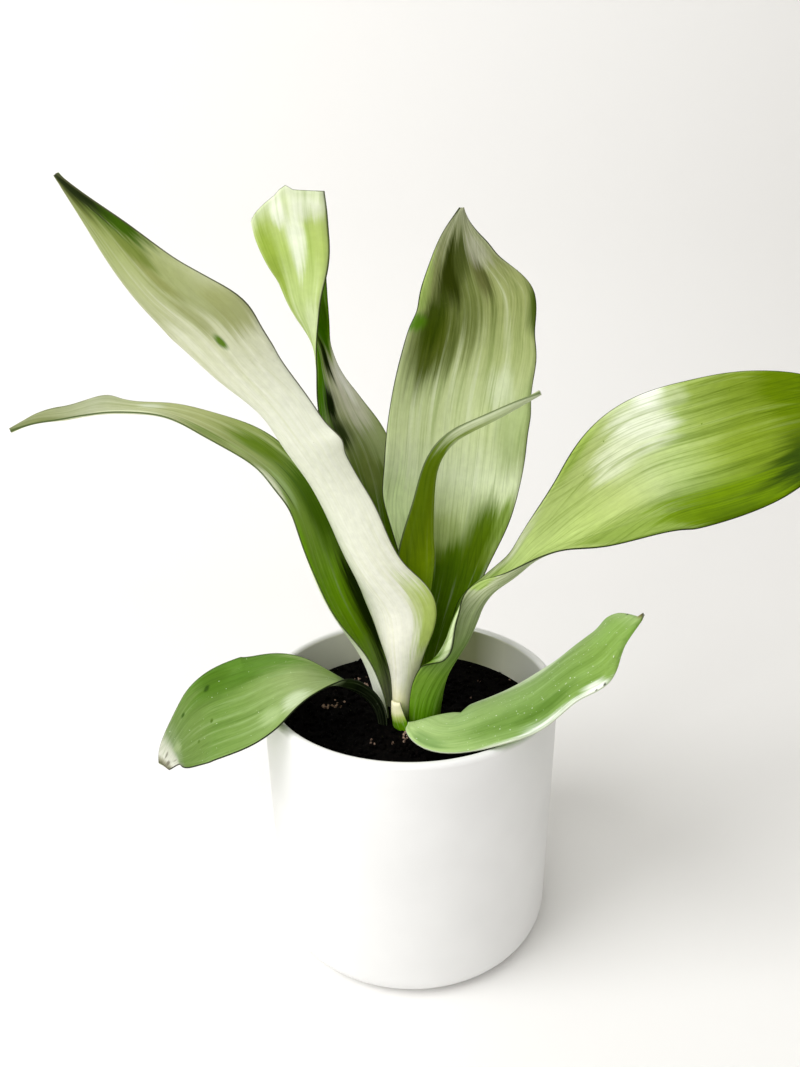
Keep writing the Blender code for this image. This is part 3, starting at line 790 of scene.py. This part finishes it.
lowLeftLeaf = {
    "heading": 195, "trough": 2.0, "wave": (0.4, 40),
    # painted shade: the near-black foot of both faces, up to about 0.3 along
    "outer": [(0.0, "#070b03"), (0.25, "#0c1405"), (0.31, "#2c3a1c"), (0.34, "#a9b890"), (1.0, "#8aa060")],
    "inner": [
        (0.0, "#10180a"), (0.27, "#1c280f"), (0.32, "#748c48"), (0.4, "#839460"), (0.48, "#8a9d66"),
        (0.56, "#7f9659"), (0.65, "#738e4b"), (0.74, "#688540"), (0.82, "#667f40"), (0.9, "#627a3e"),
        (0.935, "#718358"), (0.955, "#b4b6a6"), (0.98, "#c4c4b8"), (0.99, "#8a8874"), (1.0, "#4f4c3a"),
    ],
    "patches": [
        ("inner", 0.7, 0.475, 0.45, 0.075, "#b7c4a2", 0.9), ("inner", 0.62, 0.57, 0.3, 0.05, "#a0b480", 0.7),
        ("inner", -0.95, 0.6, 0.75, 0.3, "#557a2c", 0.9), ("inner", -0.75, 0.76, 0.35, 0.07, "#48691c", 0.8),
        ("inner", -0.52, 0.72, 0.26, 0.2, "#4c6e22", 0.75), ("inner", -0.65, 0.779, 0.08, 0.012, "#2f4a0f", 1.0),
        ("inner", -0.57, 0.872, 0.07, 0.012, "#33500f", 1.0), ("inner", 0.11, 0.767, 0.06, 0.009, "#48611f", 1.0),
        ("inner", 0.43, 0.826, 0.06, 0.009, "#516a2a", 1.0), ("inner", 1.0, 0.93, 0.2, 0.04, "#6e755b", 0.9),
        ("inner", 0.1, 0.925, 0.35, 0.025, "#8a9a6c", 0.8), ("inner", 0.3, 0.985, 0.3, 0.012, "#6a6757", 0.9),
        ("inner", -0.3, 0.972, 0.12, 0.014, "#7b7a6c", 0.9), ("inner", 0.6, 0.96, 0.1, 0.016, "#8f8f80", 0.9),
    ],
    # its dark margin line is partly a real dark edge and partly painted shade along the shaded foot
    "fibres": ("#93ad66", 0.35, "#c5d9a6", 0.17), "flecks": ("#d5e2c3", 0.74, 1.0), "margin": "#131a0a",
    "stations": [
        (-12, -10, 98.3, 7, 0, 2), (-13, -10, 112, 7, 20, 2), (-18, -11, 123, 9, 40, 2),
        (-27, -11, 131, 12, 30, 3), (-39, -14, 136, 26, 8, 3), (-51, -17, 137, 43, 0, 3),
        (-63, -20, 134, 57, -5, 3), (-75, -23, 129, 60, -10, 3), (-90, -23, 123, 58, -10, 3),
        (-102, -24, 114, 48, -10, 2), (-109, -26, 106, 35, -5, 2), (-113, -30, 99, 10, -15, 1),
    ],
}
makeLeaf("lowLeftLeaf", lowLeftLeaf, "leaf_low_left")

lowRightLeaf = {
    "heading": 340, "trough": 2.0, "wave": (0.4, 40),
    "outer": [(0.0, "#b2cc8a"), (1.0, "#86ad51")],
    "inner": [
        (0.0, "#a8c080"), (0.2, "#b0c88a"), (0.3, "#9ab474"), (0.4, "#8ea968"), (0.5, "#86a261"), (0.6, "#7f9c59"),
        (0.7, "#7b9852"), (0.85, "#7f9c50"), (0.95, "#819f54"), (1.0, "#93aa70"),
    ],
    "patches": [
        ("inner", -1.0, 0.57, 0.2, 0.09, "#bcc8b4", 0.95), ("inner", -1.0, 0.8, 0.25, 0.08, "#eef3e8", 0.9),
        ("inner", 0.85, 0.56, 0.55, 0.34, "#d2dfbe", 0.85), ("inner", -1.05, 0.6, 0.19, 0.32, "#fbfdf8", 0.97),
        ("inner", 0.9, 0.93, 0.5, 0.07, "#7fa050", 0.9), ("inner", -0.62, 1.0, 0.14, 0.022, "#7a5c3c", 0.97),
        ("inner", 0.1, 1.0, 0.1, 0.01, "#2e2c1a", 0.95), ("inner", -1.0, 0.85, 0.07, 0.012, "#23240f", 0.95),
        ("inner", -1.0, 0.81, 0.05, 0.009, "#2a2b14", 0.95), ("inner", -0.6, 0.5, 0.4, 0.24, "#66863e", 0.75),
        ("inner", -0.7, 0.63, 0.2, 0.16, "#56762f", 0.75), ("inner", 0.1, 0.32, 0.4, 0.06, "#9db87c", 0.6),
        ("inner", -0.8, 0.26, 0.25, 0.05, "#769558", 0.7), ("inner", 0.1, 0.9, 0.5, 0.08, "#88a95a", 0.6),
    ],
    "torn": [(-1, -12), (-0.75, -6), (-0.6, 5.5), (-0.5, 2), (0, 0), (1, -4)],
    "fibres": ("#98b56f", 0.3, "#bcd79b", 0.2), "flecks": ("#dfe8d2", 0.7, 0.9), "margin": "#c3ccb2",
    "stations": [
        (5, -17, 98.3, 9, -70, 1), (4, -17, 109, 11, -60, 1), (8, -21, 116, 23, -25, 0),
        (17, -33, 119, 41, -5, -2), (28, -36, 122, 45, 0, -4), (43, -38, 129, 46, 5, -5),
        (58, -40, 139, 43, 10, -5), (71, -41, 151, 43, 10, -5), (82, -41, 161, 40, 15, -4),
        (87, -41, 169, 31, 20, -3), (92, -41, 176, 16, 30, -1),
    ],
}
makeLeaf("lowRightLeaf", lowRightLeaf, "leaf_low_right")

stubRamp = [(0.0, "#4c7c0c"), (0.58, "#5f9014"), (0.7, "#b9cc70"), (0.8, "#f0efc4"), (1.0, "#f4efd0")]
cutStub = {
    "heading": 230, "trough": 2.0, "wave": (0, 40), "outer": stubRamp, "inner": stubRamp,
    "fibres": ("#e2dcae", 0.3, "#f6f2d2", 0.2), "flecks": ("#a89a60", 0.8, 1.2),
    "stations": [
        (-4, -14, 98.3, 15, 0, 1), (-4, -14.5, 108, 11, 0, 2), (-5.5, -14.5, 115, 8, 0, 2), (-6.5, -14.5, 122, 5, 0, 1),
    ],
}
makeLeaf("cutStub", cutStub, "cut_leaf_stub")
print("leaves made")

# Rhizome: carried over from the CAD model, buried, so it only gets a skin
rhizome = {
    "bark": [(0.1, "#7d5a2a"), (0.3, "#b98c48"), (0.8, "#cfa863")],
    "scars": 12.0, "scarDetail": 3.0, "scarWander": 3.0, "scarBump": (0.5, 0.4),
}


def rhizomeSkin():
    # Rootstock grown in soil: tough living skin, dull ochre, ringed by the scars of old scales
    look, tree, shader = newMaterial("rhizomeBark", Roughness=0.75)
    values = {
        "Scale": 1 / (rhizome["scars"] * mm), "Distortion": rhizome["scarWander"], "Detail": rhizome["scarDetail"],
    }
    scars = addNode(tree, "ShaderNodeTexWave", values, {"Vector": objectPlace(tree)}).outputs["Fac"]
    tree.links.new(addRamp(tree, scars, rhizome["bark"]), shader.inputs["Base Color"])
    addBump(tree, shader, scars, *rhizome["scarBump"])
    return look


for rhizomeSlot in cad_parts["rhizome"].material_slots:
    rhizomeSlot.material = rhizomeSkin()
print("rhizome coloured")

# Studio: a pale paper sweep, a big soft light at the left, a weak fill at the front and one above
studio = {
    "paper": "#f1f0ee", "sweepStart": 420.0, "sweepRadius": 350.0,
    "paperFront": -1200, "paperLength": 3000, "paperWidth": 4000, "aim": (0, 0, 150),
    "key": {"place": (-1400, -650, 1650), "size": 1300, "watts": 35},
    "fill": {"place": (-500, -1150, 900), "size": 800, "watts": 6.5},
    "top": {"place": (250, -250, 1600), "size": 900, "watts": 3.5},
    "sky": "#f4f1eb", "skyStrength": 0.36,
}


def makePaper():
    mesh = bmesh.new()
    bmesh.ops.create_grid(mesh, x_segments=8, y_segments=120, size=1)
    radius = studio["sweepRadius"]
    for vert in mesh.verts:
        run = (vert.co.y + 1) * studio["paperLength"] / 2 + studio["paperFront"]
        over = max(0, run - studio["sweepStart"])
        turn = min(over / radius, math.pi / 2)
        y = min(run, studio["sweepStart"]) + radius * math.sin(turn)
        z = radius * (1 - math.cos(turn)) + max(0, over - radius * math.pi / 2)
        vert.co = Vector((vert.co.x * studio["paperWidth"] / 2, y, z)) * mm
    shape = meshOf("paper", mesh)
    for face in shape.polygons:
        face.use_smooth = True
    look, _, _ = newMaterial("mattPaper", Roughness=0.9, Base_Color=linear(studio["paper"]))
    shape.materials.append(look)
    paper = bpy.data.objects.new("paper", shape)
    bpy.context.scene.collection.objects.link(paper)


def makeLight(name, setting):
    lamp = bpy.data.lights.new(name, "AREA")
    lamp.size = setting["size"] * mm
    lamp.energy = setting["watts"]
    light = bpy.data.objects.new(name, lamp)
    light.location = Vector(setting["place"]) * mm
    light.rotation_euler = (Vector(studio["aim"]) * mm - light.location).to_track_quat("-Z", "Y").to_euler()
    bpy.context.scene.collection.objects.link(light)


def makeStudio():
    bpy.context.scene.view_settings.view_transform = "Standard"
    makePaper()
    for name in ("key", "fill", "top"):
        makeLight(name + "Light", studio[name])
    world = bpy.data.worlds.new("softRoom")
    world.use_nodes = True
    sky = world.node_tree.nodes["Background"]
    sky.inputs["Color"].default_value = linear(studio["sky"])
    sky.inputs["Strength"].default_value = studio["skyStrength"]
    bpy.context.scene.world = world


makeStudio()
print("studio made")
